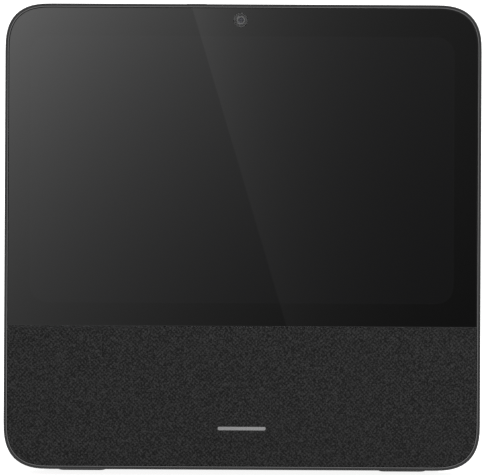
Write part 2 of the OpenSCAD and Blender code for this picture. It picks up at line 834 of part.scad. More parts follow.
// Row of upright cooling slots near the top of the wedge's rear wall
module vents() on_rear_wall() for (i = [-vents_each_side : vents_each_side])
    translate([i * vent_pitch, cut, vent_up]) rotate([90, 0, 0]) rotate([0, 0, 90])
        pill(vent_l, vent_w, cover_t + 2 * cut);

module cover_screws() color("gray") face() for (x = [-1, 1], v = cover_screw_v)
    facing(x * cover_screw_x, cover_back - recess_t, v) difference() {
        union() {
            cylinder(r = screw_r, h = cover_t + screw_bite);
            translate([0, 0, -cover_head_t]) cylinder(r = head_r, h = cover_head_t);
        }
        translate([0, 0, -cover_head_t - cut])
            cylinder(r = bit_r, h = cut + bit_depth, $fn = 6);
    }

// Feet, inlet and leads

module foot(x, y, d) translate([x, y + d / 2, 0]) linear_extrude(foot_proud + foot_in) {
    r = foot_corner_r;
    square([foot_l, d - 2 * r], center = true);
    square([foot_l - 2 * r, d], center = true);
    for (i = [-1, 1], j = [-1, 1]) translate([i * (foot_l / 2 - r), j * (d / 2 - r)]) circle(r);
}

module front_feet() color([0.12, 0.12, 0.12])
    for (side = [-1, 1]) foot(side * foot_x, front_foot_y, foot_d);

module rear_feet() color([0.12, 0.12, 0.12])
    for (side = [-1, 1]) foot(side * foot_x, rear_foot_y, rear_foot_d);

module power_inlet() color([0.1, 0.1, 0.1]) on_rear_wall()
    translate([inlet_x, 0, inlet_up]) rotate([90, 0, 0]) {
        difference() {
            union() {
                translate([0, 0, inlet_set]) cylinder(r = collar_r, h = cover_t);
                translate([-inlet_body / 2, -inlet_body / 2, cover_t])
                    cube([inlet_body, inlet_body, inlet_back]);
            }
            cylinder(r = inlet_r, h = inlet_set + inlet_depth);
        }
        translate([0, 0, inlet_set + 1]) cylinder(r = pin_r, h = inlet_depth);
    }

// Point inside the wedge, at a depth from its rear wall and a height up it
function inside_wall(depth, up) = [
    heel_y - depth * cos(rear_lean) - up * sin(rear_lean),
    foot_proud - depth * sin(rear_lean) + up * cos(rear_lean)];

// From the inlet's back up over the speaker box to the board, square to both
module power_lead() color("black") {
    inlet_end = cover_t + inlet_back;
    board_back = board_y + board_t;
    wire([
        spot(inlet_x, inside_wall(inlet_end, inlet_up)),
        spot(inlet_x, inside_wall(inlet_end + lead_out, inlet_up)),
        spot(inlet_x, world(baffle_y + box_d, box_v + box_h) + [lead_out, 0]),
        spot(lead_x, world(board_back + lead_out, lead_v)),
        spot(lead_x, world(board_back, lead_v))], lead_r);
}

function spot(x, side_view) = [x, side_view[0], side_view[1]];

module speaker_leads() color("firebrick") face() for (side = [-1, 1])
    wire([
        [side * wire_x, board_y + board_t + wire_r, board_v - board_h / 2 + wire_rise],
        [side * wire_x, board_y + board_t + wire_r, box_v + box_h + 2 * wire_rise],
        [side * wire_x, baffle_y + wire_depth, box_v + box_h + wire_rise],
        [side * wire_x, baffle_y + wire_depth, box_v + box_h]], wire_r);

frame_band();
cover_glass();
touch_sensor();
lcd_cell();
backlight_tray();
display_gasket();
mid_chassis();
camera_module();
camera_lens();
camera_flex();
display_flex();
grille_carrier();
grille_fabric();
badge();
speaker_box();
speaker_box_lid();
left_basket();
left_magnet();
left_cone();
left_surround();
left_spider();
right_basket();
right_magnet();
right_cone();
right_surround();
right_spider();
bass_frame();
bass_radiator();
bass_surround();
speaker_screws();
box_screws();
main_board();
board_shields();
thermal_pad();
heat_sink();
board_screws();
left_antenna();
right_antenna();
top_board();
mic_gaskets();
mute_key();
volume_board();
volume_up_key();
volume_down_key();
rear_cover();
cover_screws();
power_inlet();
power_lead();
speaker_leads();
front_feet();
rear_feet();
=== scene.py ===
import json
import math

import bmesh
import bpy
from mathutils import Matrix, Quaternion, Vector


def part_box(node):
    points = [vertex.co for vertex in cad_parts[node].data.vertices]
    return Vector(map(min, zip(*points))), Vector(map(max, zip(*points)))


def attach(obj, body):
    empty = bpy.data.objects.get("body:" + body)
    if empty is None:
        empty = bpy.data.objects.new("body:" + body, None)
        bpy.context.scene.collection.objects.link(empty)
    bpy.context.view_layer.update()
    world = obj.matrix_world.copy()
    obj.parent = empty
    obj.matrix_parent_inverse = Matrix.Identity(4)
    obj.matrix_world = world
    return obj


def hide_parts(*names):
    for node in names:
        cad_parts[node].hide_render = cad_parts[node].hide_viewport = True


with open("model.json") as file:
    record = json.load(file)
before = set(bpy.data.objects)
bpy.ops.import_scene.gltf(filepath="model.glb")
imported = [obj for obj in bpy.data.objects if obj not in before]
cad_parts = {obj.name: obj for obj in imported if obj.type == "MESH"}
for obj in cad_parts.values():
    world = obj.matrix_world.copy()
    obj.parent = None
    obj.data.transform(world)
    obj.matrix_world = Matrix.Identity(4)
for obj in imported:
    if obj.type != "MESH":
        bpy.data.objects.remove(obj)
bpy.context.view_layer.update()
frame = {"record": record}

# ---------------------------------------------------------------------------------------------
# Metal band. One ring of dark anodised aluminium, bent round the slab and blasted to a satin,
# with a rounded outer edge in front and a flat lip beside the glass. It is milled through for
# the mute key and two microphones, and every other piece of the slab is fixed inside it.

MM = 0.001

# The mute key slides straight down the slab, so its axis gives the angle of the lean. The
# band's box then gives the depth and height of the slab and its lower front edge.
AXES = {joint["name"]: joint["axis"] for joint in frame["record"]["behaviour"]["joints"]}
LEAN = math.atan2(-AXES["mute_press"][1], -AXES["mute_press"][2])
COS, SIN = math.cos(LEAN), math.sin(LEAN)


def slab_size(node):
    """Depth and height of a slab-shaped node, measured square to the lean."""
    low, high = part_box(node)
    run, rise, both = high[1] - low[1], high[2] - low[2], COS * COS - SIN * SIN
    return (run * COS - rise * SIN) / both, (rise * COS - run * SIN) / both


SLAB_T, FACE_H = slab_size("frame_band")
HALF_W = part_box("frame_band")[1][0]
EDGE_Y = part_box("frame_band")[0][1]
EDGE_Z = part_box("frame_band")[0][2] + SLAB_T * SIN


def at(x, depth, height):
    """World place of a point of the slab: depth behind its face, height along it."""
    return Vector((x, EDGE_Y + depth * COS + height * SIN, EDGE_Z - depth * SIN + height * COS))


def in_slab(point):
    """Place across, depth and height in the slab of a world place, the other way from at()."""
    y, z = point[1] - EDGE_Y, point[2] - EDGE_Z
    return point[0], y * COS - z * SIN, y * SIN + z * COS


def slab_range(node):
    """Left, front and lower limits of a slab-shaped node, then right, back and upper ones."""
    low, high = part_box(node)
    depth, height = slab_size(node)
    _, front, lower = in_slab((low[0], low[1], low[2] + depth * SIN))
    return (low[0], front, lower), (high[0], front + depth, lower + height)


# How far a corner reaches along the sides, how full it is, and its number of steps.
CORNER_REACH = 24.2 * MM
CORNER_POWER = 2 / 2.7
CORNER_STEPS = 14


def outline(half, low, high, reach_low, reach_high, middle=0.0):
    """Upright rectangle with corners that ease in and out of the sides, as (x, height) pairs."""
    points = []
    for side, height, reach, start in (
        (1, low, reach_low, -90), (1, high, reach_high, 0),
        (-1, high, reach_high, 90), (-1, low, reach_low, 180),
    ):
        inwards = 1 if height == low else -1
        centre = Vector((middle + side * (half - reach), height + inwards * reach))
        first, last = (
            Vector((round(math.cos(math.radians(a))), round(math.sin(math.radians(a)))))
            for a in (start, start + 90)
        )
        for step in range(CORNER_STEPS + 1):
            turn = math.pi / 2 * step / CORNER_STEPS
            along = last * math.sin(turn) ** CORNER_POWER + first * math.cos(turn) ** CORNER_POWER
            points.append(centre + reach * along)
    return points


def arc(x, y, radius, start, end, steps=5):
    """Points of an arc round (x, y), from one angle in degrees to another."""
    turns = [math.radians(start + (end - start) * i / steps) for i in range(steps + 1)]
    return [(x + radius * math.cos(t), y + radius * math.sin(t)) for t in turns]


SHARP_ANGLE = math.radians(35)


def skin(name, rings, closed=False, wear=()):
    """Mesh through rings of points, closed on itself or capped; wear marks rubbed rings."""
    bm = bmesh.new()
    marks = bm.verts.layers.float.new("wear")
    rows = []
    for index, ring in enumerate(rings):
        row = [bm.verts.new(point) for point in ring]
        for vert in row:
            vert[marks] = wear[index] if wear else 0.0
        rows.append(row)
    pairs = list(zip(rows, rows[1:])) + ([(rows[-1], rows[0])] if closed else [])
    for a, b in pairs:
        for i in range(len(a)):
            j = (i + 1) % len(a)
            bm.faces.new((a[i], a[j], b[j], b[i]))
    if not closed:
        bm.faces.new(rows[0][::-1])
        bm.faces.new(rows[-1])
    bmesh.ops.recalc_face_normals(bm, faces=bm.faces)
    mesh = bpy.data.meshes.new(name)
    bm.to_mesh(mesh)
    bm.free()
    mesh.shade_smooth()
    mesh.set_sharp_from_angle(angle=SHARP_ANGLE)
    thing = bpy.data.objects.new(name, mesh)
    bpy.context.collection.objects.link(thing)
    even_normals(thing)
    return thing


def even_normals(thing):
    """Lets large flat faces stay flat to their edges, and small rounded ones turn."""
    even = thing.modifiers.new("even", "WEIGHTED_NORMAL")
    even.weight, even.keep_sharp = 100, True


def bore(thing, cutters):
    """Cuts the cutters out of a piece and removes them."""
    for cutter in cutters:
        change = thing.modifiers.new("cut", "BOOLEAN")
        change.operation, change.solver, change.object = "DIFFERENCE", "EXACT", cutter
    bpy.context.view_layer.update()
    shape = bpy.data.meshes.new_from_object(
        thing.evaluated_get(bpy.context.evaluated_depsgraph_get()))
    thing.modifiers.clear()
    thing.data = shape
    shape.set_sharp_from_angle(angle=SHARP_ANGLE)
    even_normals(thing)
    for cutter in cutters:
        bpy.data.objects.remove(cutter)


def fit(thing, node, material, body="root"):
    """Puts a finished piece on its body in place of a CAD node."""
    thing.data.materials.clear()
    thing.data.materials.append(material)
    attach(thing, body)
    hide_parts(node)


class Value:
    """A shader socket that adds Math nodes when it is used in a sum or product."""

    def __init__(self, finish, socket):
        self.finish, self.socket = finish, socket

    def maths(self, operation, a, b):
        return self.finish.node("Math", {"operation": operation}, {0: a, 1: b})

    def __add__(self, other):
        return self.maths("ADD", self, other)

    def __sub__(self, other):
        return self.maths("SUBTRACT", self, other)

    def __rsub__(self, other):
        return self.maths("SUBTRACT", other, self)

    def __mul__(self, other):
        return self.maths("MULTIPLY", self, other)

    def __pow__(self, other):
        return self.maths("POWER", self, other)

    def __rpow__(self, other):
        return self.maths("POWER", other, self)

    def __abs__(self):
        return self.maths("ABSOLUTE", self, 0.0)

    def __gt__(self, other):
        return self.maths("GREATER_THAN", self, other)

    def __lt__(self, other):
        return self.maths("LESS_THAN", self, other)

    def at_least(self, other):
        return self.maths("MAXIMUM", self, other)

    __radd__, __rmul__ = __add__, __mul__


class Finish:
    """One material: a Principled shader with fixed sockets, fed by patterns from node()."""

    def __init__(self, name, **fixed):
        self.material = bpy.data.materials.new(name)
        self.material.use_nodes = True
        self.tree = self.material.node_tree
        self.tree.nodes.clear()
        self.end = self.tree.nodes.new("ShaderNodeOutputMaterial")
        self.shader = self.tree.nodes.new("ShaderNodeBsdfPrincipled")
        self.tree.links.new(self.shader.outputs[0], self.end.inputs[0])
        for key, value in fixed.items():
            self.shader.inputs[key.replace("_", " ")].default_value = value

    def node(self, kind, settings=None, sockets=None, out=0):
        """Adds a node: settings are its own, sockets are given numbers or linked values."""
        made = self.tree.nodes.new("ShaderNode" + kind)
        for key, value in (settings or {}).items():
            if key == "stops":
                for stop, (place, level) in zip(made.color_ramp.elements, value):
                    stop.position, stop.color = place, (*level, 1)
            else:
                setattr(made, key, value)
        for key, value in (sockets or {}).items():
            if isinstance(value, Value):
                self.tree.links.new(value.socket, made.inputs[key])
            else:
                made.inputs[key].default_value = value
        return Value(self, made.outputs[out])

    def split(self, vector):
        """The three numbers of a vector, each as a value."""
        parts = self.node("SeparateXYZ", {}, {0: vector})
        return [Value(self, socket) for socket in parts.socket.node.outputs]

    def place(self, stretch=(1, 1, 1), tilt=0.0):
        """The piece's own coordinates, turned upright if tilt is given, and stretched."""
        own = self.node("TexCoord", out="Object")
        return self.node("Mapping", {"vector_type": "POINT"}, {
            "Vector": own, "Rotation": (tilt, 0, 0), "Scale": stretch})

    def noise(self, scale, detail, rough=0.5, stretch=(1, 1, 1), tilt=0.0):
        """Cloudy pattern from 0 to 1, with scale clouds to the metre."""
        return self.node("TexNoise", {}, {
            "Vector": self.place(stretch, tilt), "Scale": scale,
            "Detail": detail, "Roughness": rough})

    def blend(self, factor, a, b):
        """Colour a where factor is 0, b where it is 1."""
        return self.node("Mix", {"data_type": "RGBA"}, {
            "Factor": factor, 6: (*a, 1) if isinstance(a, tuple) else a,
            7: (*b, 1) if isinstance(b, tuple) else b}, out=2)

    def feed(self, **patterns):
        """Links patterns to sockets of the Principled shader, by name."""
        for key, value in patterns.items():
            self.tree.links.new(value.socket, self.shader.inputs[key.replace("_", " ")])

    def bump(self, height, depth, strength):
        self.feed(Normal=self.node("Bump", {}, {
            "Height": height, "Distance": depth, "Strength": strength}))


def anodised(name, dark, light, roughness, shine, gloss=0.3):
    """Blasted and dyed aluminium, brighter where the dye is rubbed off its edges."""
    metal = Finish(name, Metallic=shine, IOR=1.5)
    metal.shader.inputs["Specular IOR Level"].default_value = gloss
    grain = metal.noise(2600, 2)
    cloud = metal.noise(28, 4)
    worn = metal.node("Attribute", {"attribute_name": "wear"}, out="Fac") * (cloud * 1.2)
    tone = metal.blend(cloud, dark, tuple(c * 1.18 for c in dark))
    metal.feed(Base_Color=metal.blend(worn, tone, light),
               Roughness=grain * 0.1 + cloud * 0.06 + (roughness - 0.08))
    metal.bump(grain, 0.012 * MM, 0.6)
    return metal.material


# The section goes round the band's wall as (inset, depth), from the back of the outside. The
# lip's inner edge is the one that gets rubbed.
BAND_T = 1.7 * MM
BACK_ROUND, FRONT_ROUND, LIP_EASE = 0.5 * MM, 1.3 * MM, 0.12 * MM
LIP_WEAR = 0.3
back_edge = arc(BACK_ROUND, SLAB_T - BACK_ROUND, BACK_ROUND, 90, 180)
front_edge = arc(FRONT_ROUND, FRONT_ROUND, FRONT_ROUND, 180, 270, 8)
lip_edge = arc(BAND_T - LIP_EASE, LIP_EASE, LIP_EASE, 270, 360, 3)
inner_edge = arc(BAND_T - LIP_EASE, SLAB_T - LIP_EASE, LIP_EASE, 0, 90, 3)
band_section = back_edge + front_edge + lip_edge + inner_edge
band_rings = [
    [at(x, depth, height) for x, height in outline(
        HALF_W - inset, inset, FACE_H - inset, CORNER_REACH - inset, CORNER_REACH - inset)]
    for inset, depth in band_section]
band_wear = [LIP_WEAR if edge_point in lip_edge else 0.0 for edge_point in band_section]
band = skin("metal_band", band_rings, closed=True, wear=band_wear)


def centre_of(node):
    """Middle of the box round a CAD node."""
    low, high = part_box(node)
    return Vector((low[i] + high[i]) / 2 for i in range(3))


PILL_STEPS = 10


def pill_up(half_l, half_w, x, depth, height):
    """Outline of a slot in the slab's top wall, rounded at both ends, as points at one height."""
    ends = arc(half_l - half_w, 0, half_w, -90, 90, PILL_STEPS)
    ends += [(-along, -across) for along, across in ends]
    return [at(x + along, depth + across, height) for along, across in ends]


KEY_L, KEY_W, KEY_GAP = 10.5 * MM, 4 * MM, 0.15 * MM
MIC_X, MIC_R = 46 * MM, 0.6 * MM
# A microphone hole is a hair narrower than long, so that no two points of its outline meet.
NEARLY_ROUND = 0.999
mute_x, mute_depth, _ = in_slab(centre_of("mute_key"))
through = (FACE_H - 3 * BAND_T, FACE_H + BAND_T)
slots = [skin("slot", [
    pill_up(KEY_L / 2 + KEY_GAP, KEY_W / 2 + KEY_GAP, mute_x, mute_depth, height)
    for height in through])]
slots += [skin("slot", [
    pill_up(MIC_R, MIC_R * NEARLY_ROUND, side * MIC_X, mute_depth, height) for height in through])
    for side in (-1, 1)]
bore(band, slots)
# The walls and outer rounding take the band's dark grey darkened further, as painted shade; the
# front lip keeps the metal's own tone.
SHADED_SIDE_TONE, LIP_TONE, RUBBED = (0.014, 0.014, 0.0143), (0.1, 0.1, 0.101), (0.14, 0.14, 0.142)
fit(band, "frame_band", anodised("blasted_side_painted_shade", SHADED_SIDE_TONE, LIP_TONE, 0.5, 0.0, 0.2))
band.data.materials.append(anodised("cut_lip", LIP_TONE, RUBBED, 0.4, 0.4))
LIP_DEPTH = 0.01 * MM
# Only faces at the very front keep the metal's own tone; every other face of the band takes the
# darker copy with its painted shade.
for face in band.data.polygons:
    face.material_index = int(in_slab(face.center)[1] < LIP_DEPTH)

# ---------------------------------------------------------------------------------------------
# Cover glass. One sheet with a ground and polished edge, printed black behind all round the
# picture and bonded to the dark display, so that it shows as a black mirror. The print leaves
# a clear round window for the camera. Foam tape holds the sheet in the band.

GLASS_EASE = 0.25 * MM
GLASS_CORNER = 0.9 * MM
(_, glass_front, glass_low), (glass_half, glass_back, glass_high) = slab_range("cover_glass")
glass_reach = CORNER_REACH - (HALF_W - glass_half)
glass_section = (
    [(GLASS_EASE, glass_back), (0, glass_back - GLASS_EASE)]
    + arc(GLASS_EASE, glass_front + GLASS_EASE, GLASS_EASE, 180, 270))
glass = skin("black_glass", [
    [at(x, depth, height) for x, height in outline(
        glass_half - inset, glass_low + inset, glass_high - inset,
        GLASS_CORNER - inset, glass_reach - inset)]
    for inset, depth in glass_section])


ROUND_STEPS = 48


def round_ring(x, depth, height, radius):
    """Circle that lies square to the slab's depth, as points."""
    turns = [2 * math.pi * i / ROUND_STEPS for i in range(ROUND_STEPS)]
    return [at(x + radius * math.cos(t), depth, height + radius * math.sin(t)) for t in turns]


CAMERA_WINDOW_R, WINDOW_FIT, OVERCUT = 3.7 * MM, 0.02 * MM, 1 * MM
camera_x, _, camera_v = in_slab(centre_of("camera_lens"))
bore(glass, [skin("window", [
    round_ring(camera_x, depth, camera_v, CAMERA_WINDOW_R)
    for depth in (glass_front - OVERCUT, glass_back + OVERCUT)])])

PICTURE_W, PICTURE_H, PICTURE_ROUND, PICTURE_LINE = 217 * MM, 136.4 * MM, 9 * MM, 0.25 * MM
PRINT_TONE, PICTURE_TONE, LINE_TONE = (0.0004,) * 3, (0.0017, 0.0017, 0.0019), (0.0034,) * 3


def printed_glass(name):
    """Black print and dark picture under polish: a rounded area with a thin paler outline."""
    pane = Finish(name, IOR=1.5)
    picture = centre_of("touch_sensor")
    across, _, up = pane.split(pane.place(tilt=LEAN))
    aside = abs(across - picture[0]) - (PICTURE_W / 2 - PICTURE_ROUND)
    above = abs(up - (picture[1] * SIN + picture[2] * COS)) - (PICTURE_H / 2 - PICTURE_ROUND)
    away = (aside.at_least(0) ** 2 + above.at_least(0) ** 2) ** 0.5 - PICTURE_ROUND
    smudge = pane.noise(14, 5, 0.6)
    area = pane.blend(away < 0.0, PRINT_TONE, PICTURE_TONE)
    pane.feed(Base_Color=pane.blend(abs(away) < PICTURE_LINE / 2, area, LINE_TONE),
              Roughness=smudge * 0.012 + 0.004)
    return pane.material


fit(glass, "cover_glass", printed_glass("printed_glass"))

# The clear window is its own piece. Only its front mirrors, its back and side let light by.
camera_window = skin("camera_window", [
    round_ring(camera_x, depth, camera_v, CAMERA_WINDOW_R - WINDOW_FIT)
    for depth in (glass_front, glass_back)])
clear = Finish("clear_glass")
passed = clear.node("BsdfTransparent", {}, {"Color": (0.97, 0.975, 0.975, 1)})
mirrored = clear.node("BsdfGlossy", {}, {"Color": (1, 1, 1, 1), "Roughness": 0.02})
share = clear.node("Fresnel", {}, {"IOR": 1.5})
both = clear.node("MixShader", {}, {"Fac": share, 1: passed, 2: mirrored})
clear.tree.links.new(both.socket, clear.end.inputs[0])
bonded = Finish("bonded_back")
let_by = bonded.node("BsdfTransparent", {}, {"Color": (0.98, 0.98, 0.98, 1)})
bonded.tree.links.new(let_by.socket, bonded.end.inputs[0])
camera_window.data.materials.append(bonded.material)
camera_window.data.materials.append(clear.material)
out_of_face = Vector((0, -COS, SIN))
FACES_FRONT = 0.9
for face in camera_window.data.polygons:
    face.material_index = int(face.normal.dot(out_of_face) > FACES_FRONT)
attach(camera_window, "root")

# ---------------------------------------------------------------------------------------------
# Display. The touch film is bonded to the picture panel and to the back of the glass. Both are
# nearly black when switched off. A steel tray with the backlight stands behind them.

film = Finish("dark_film", Roughness=0.35, IOR=1.4)
film.shader.inputs["Specular IOR Level"].default_value = 0.0
film.feed(Base_Color=film.blend(film.noise(1500, 1), (0.0036, 0.0036, 0.0038),
                                (0.0044, 0.0044, 0.0046)))


SAME_POINT, EASED_ANGLE = 0.001 * MM, math.radians(40)


def finish_node(node, material, ease=0.0):
    """Gives a carried-over CAD node its material, and eases its edges if asked."""
    thing = bpy.data.objects[node]
    thing.data.materials.clear()
    thing.data.materials.append(material)
    if ease:
        thing.modifiers.new("join", "WELD").merge_threshold = SAME_POINT
        soft = thing.modifiers.new("ease", "BEVEL")
        soft.width, soft.segments, soft.limit_method = ease, 2, "ANGLE"
        soft.angle_limit, soft.harden_normals = EASED_ANGLE, True
        soft.use_clamp_overlap = True


finish_node("touch_sensor", film.material)
finish_node("lcd_cell", film.material)

# ---------------------------------------------------------------------------------------------
# Camera. A turned black barrel with a satin front ring stands right behind its window, and
# steps down to a small coated lens. It is glued to its board on the chassis.

# Radius and depth behind the glass of each step of the barrel in millimetres, from its back
# over the rim to its middle.
RING_STEPS = ((3.2, 1.9), (3.2, 0.3), (3.68, 0.2), (3.68, 0.05), (3.6, 0.0), (3.3, 0.0), (3.2, 0.3),
              (2.5, 0.4), (2.3, 0.2), (1.4, 0.2), (1.2, 0.6), (1.1, 1.0))
barrel_front = glass_back
barrel = skin("camera_barrel", [
    round_ring(camera_x, barrel_front + depth * MM, camera_v, radius * MM)
    for radius, depth in RING_STEPS])
rings = Finish("turned_black", IOR=1.5, Metallic=0.2)
turned = rings.noise(5000, 2)
ring_centre = at(camera_x, barrel_front, camera_v)
away = rings.node("VectorMath", {"operation": "DISTANCE"}, {
    0: rings.place(), 1: ring_centre}, out="Value")
# Two satin rings: the rim, and a step between the lens and the rim.
RIM_IN, STEP_IN, STEP_OUT = 3.25 * MM, 1.35 * MM, 2.25 * MM
light_rings = (away > RIM_IN) + (away > STEP_IN) * (away < STEP_OUT)
rings.feed(Base_Color=rings.blend(light_rings, (0.004, 0.004, 0.0045), (0.1, 0.1, 0.102)),
           Roughness=turned * 0.15 + 0.35)
rings.bump(turned, 0.01 * MM, 0.5)
fit(barrel, "camera_module", rings.material)

LENS_R, LENS_BULGE, LENS_SET = 1.18 * MM, 0.35 * MM, 0.3 * MM
DOME_ANGLES = (2, 20, 38, 56, 74, 90)
lens = skin("coated_lens", [
    round_ring(camera_x, barrel_front + LENS_SET + LENS_BULGE * (1 - math.cos(t)), camera_v,
               LENS_R * math.sin(t))
    for t in (math.radians(a) for a in DOME_ANGLES)])
coat = Finish("lens_coating", Roughness=0.06, IOR=1.35)
coat.feed(Base_Color=coat.blend(coat.noise(700, 1), (0.006, 0.008, 0.02), (0.012, 0.01, 0.03)))
fit(lens, "camera_lens", coat.material)

# ---------------------------------------------------------------------------------------------
# Speaker cloth. A fine dark woven cloth of mixed grey yarns, stretched over the perforated
# carrier, turned over its edge and glued behind. It carries a small plain metal bar.

CLOTH_T, CLOTH_EASE = 0.6 * MM, 0.3 * MM
CLOTH_CORNER, INNER_CORNER = 1.1 * MM, 0.4 * MM
(_, cloth_front, cloth_low), (cloth_half, cloth_back, cloth_high) = slab_range("grille_fabric")
cloth_reach = CORNER_REACH - (HALF_W - cloth_half)
cloth_section = (
    [(CLOTH_T, cloth_back), (0, cloth_back), (0, cloth_front + 2 * CLOTH_EASE)]
    + arc(CLOTH_EASE, cloth_front + CLOTH_EASE, CLOTH_EASE, 180, 270))


def cloth_ring(inset, depth, upper_corner):
    """Outline of the cloth, drawn in by inset, at one depth."""
    return [at(x, depth, height) for x, height in outline(
        cloth_half - inset, cloth_low + inset, cloth_high - inset,
        cloth_reach - inset, upper_corner)]


inner_face = cloth_ring(CLOTH_T, cloth_front + CLOTH_T, INNER_CORNER)
cloth = skin("speaker_cloth", [inner_face] + [
    cloth_ring(inset, depth, CLOTH_CORNER - inset) for inset, depth in cloth_section])

# Threads lie THREAD apart and stray by up to WANDER. Each changes its tone in streaks of this
# width and length, and the shares say how much of the tone is yarn, fleck and weave.
THREAD, WANDER = 1.05 * MM, 1.4 * MM
STREAK_W, STREAK_L = 0.42 * MM, 1.3 * MM
YARN_SHARE, FLECK_SHARE, WEAVE_SHARE, TONE_SHIFT = 4.4, 1.8, 0.34, 2.76


def woven(name, dark, mid, light):
    """Plain weave of mixed yarns: warp over weft in turn, each thread with its own grey."""
    weave = Finish(name, Roughness=0.92, IOR=1.4)
    weave.shader.inputs["Specular IOR Level"].default_value = 0.15
    weave.shader.inputs["Sheen Weight"].default_value = 0.12
    weave.shader.inputs["Sheen Roughness"].default_value = 0.5
    x, _, z = weave.split(weave.place(tilt=LEAN))
    wobble = weave.noise(520, 2) * WANDER
    across, up = x + wobble, z - wobble
    warp = weave.node("Math", {"operation": "SINE"}, {0: across * (math.pi / THREAD)})
    weft = weave.node("Math", {"operation": "SINE"}, {0: up * (math.pi / THREAD)})
    over = warp * weft
    thick, long = 1 / STREAK_W, 1 / STREAK_L
    warp_tone = weave.noise(1.0, 2, 0.6, (thick, 1, long), LEAN)
    weft_tone = weave.noise(1.0, 2, 0.6, (long, 1, thick), LEAN)
    upper = over * 0.5 + 0.5
    yarn = warp_tone * upper + weft_tone * (1 - upper)
    fleck = weave.noise(900, 3, 0.7)
    level = yarn * YARN_SHARE + fleck * FLECK_SHARE + over * WEAVE_SHARE - TONE_SHIFT
    ramp = weave.node("ValToRGB", {"stops": ((0.05, dark), (0.95, light))}, {0: level})
    worn = weave.noise(30, 3)
    weave.feed(Base_Color=weave.blend(worn * 0.3, ramp, mid))
    weave.bump(over * 0.5 + fleck * 0.5, 0.12 * MM, 0.8)
    return weave.material


CLOTH_TONES = ((0.0026, 0.0026, 0.0026), (0.0142, 0.0142, 0.0144), (0.0302, 0.0302, 0.0304))
fit(cloth, "grille_fabric", woven("mixed_yarn", *CLOTH_TONES))
turned_over = 2 * (cloth_back - cloth_front)
2 * cloth_half + turned_over
cloth_high - cloth_low + turned_over

# ---------------------------------------------------------------------------------------------
# Plain bar. A thin bright metal strip, etched out and stuck on the cloth near its lower edge.

bar_x, _, bar_v = in_slab(centre_of("badge"))
bar_low, bar_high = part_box("badge")
bar_half = (bar_high[0] - bar_low[0]) / 2
BAR_RISE, BAR_PROUD, BAR_SUNK, BAR_EASE = 0.9 * MM, 0.15 * MM, 0.05 * MM, 0.1 * MM
BAR_WEAR = (0, 0, 0.4, 0.6, 0.4)
bar_section = [(0, cloth_front + BAR_SUNK)] + arc(
    BAR_EASE, cloth_front - BAR_PROUD + BAR_EASE, BAR_EASE, 180, 270, 3)
bar = skin("plain_bar", [
    [at(x, depth, height) for x, height in outline(
        bar_half - inset, bar_v - BAR_RISE + inset, bar_v + BAR_RISE - inset,
        BAR_RISE - inset, BAR_RISE - inset, bar_x)]
    for inset, depth in bar_section], wear=BAR_WEAR)
BAR_TONE, RUBBED_BAR = (0.18, 0.18, 0.182), (0.27, 0.27, 0.272)
fit(bar, "badge", anodised("satin_strip", BAR_TONE, RUBBED_BAR, 0.5, 0.4))

# ---------------------------------------------------------------------------------------------
# Keys. Each is a moulded cap with a soft crown and a flange that keeps it in its slot. The
# mute key is in the band's top and the two volume keys in the rear cover. Each rides its own
# body and presses a switch behind it.


def moulded(name, tone, grain_scale, depth=0.02 * MM, roughness=0.5):
    """Spark-textured plastic: fine even grain, faint clouds and slightly polished high spots."""
    plastic = Finish(name, IOR=1.48)
    grain = plastic.noise(grain_scale, 3, 0.6)
    cloud = plastic.noise(22, 4)
    plastic.feed(
        Base_Color=plastic.blend(cloud * 0.6 + grain * 0.4, tuple(c * 0.86 for c in tone),
                                 tuple(c * 1.16 for c in tone)),
        Roughness=grain * 0.16 + cloud * 0.08 + (roughness - 0.12))
    plastic.bump(grain, depth, 0.7)
    return plastic.material


key_plastic = moulded("key_plastic", (0.01, 0.01, 0.0105), 2400, 0.01 * MM, 0.4)
CROWN = 0.25 * MM
FLANGE, FLANGE_H = 0.8 * MM, 1.2 * MM
STEM_R, STEM_H = 1.2 * MM, 1 * MM


def key_cap(name, place, base, top, node):
    """Stem, flange and cap on the body of the key's own name; place puts a point in the world."""
    under = base - FLANGE_H
    section = [(-FLANGE, under), (-FLANGE, base), (0, base), (0, top - CROWN)]
    section += arc(CROWN, top - CROWN, CROWN, 180, 90)
    levels = [(STEM_R, STEM_R, under - STEM_H), (STEM_R, STEM_R, under)]
    levels += [(KEY_L / 2 - inset, KEY_W / 2 - inset, out) for inset, out in section]
    rings = []
    for half_l, half_w, out in levels:
        ends = arc(half_l - half_w, 0, half_w, -90, 90, PILL_STEPS)
        ends += [(-along, -across) for along, across in ends]
        rings.append([place(along, across, out) for along, across in ends])
    fit(skin(name, rings), node, key_plastic, node)


MUTE_PROUD, VOLUME_PROUD, REST_GAP = 0.35 * MM, 0.5 * MM, 0.05 * MM
inner_top = FACE_H - BAND_T
key_cap("mute_cap", lambda along, across, out: at(mute_x + along, mute_depth + across, out),
        inner_top - REST_GAP, FACE_H + MUTE_PROUD, "mute_key")

COVER_SET, COVER_T = 0.2 * MM, 2.2 * MM
cover_back = SLAB_T - COVER_SET
for side in ("up", "down"):
    key_x, _, key_v = in_slab(centre_of(f"volume_{side}_key"))
    key_cap(f"volume_{side}_cap",
            lambda along, across, out: at(key_x + along, out, key_v + across),
            cover_back - COVER_T - REST_GAP, cover_back + VOLUME_PROUD,
            f"volume_{side}_key")

# ---------------------------------------------------------------------------------------------
# Rear cover. One shell of grained plastic: a flat back let into the band and a wedge that
# holds the speakers and stands the slab up, with cooling slots. Six screws hold it.

COVER_TONE, COVER_EASE = (0.022, 0.022, 0.0232), 0.8 * MM
finish_node("rear_cover", moulded("grained_cover", COVER_TONE, 1300, 0.05 * MM), COVER_EASE)

# ---------------------------------------------------------------------------------------------
# Fasteners and other bare metal. Plated steel screws, shield cans, the drivers' pressed
# baskets, the backlight's tray and the die-cast chassis.


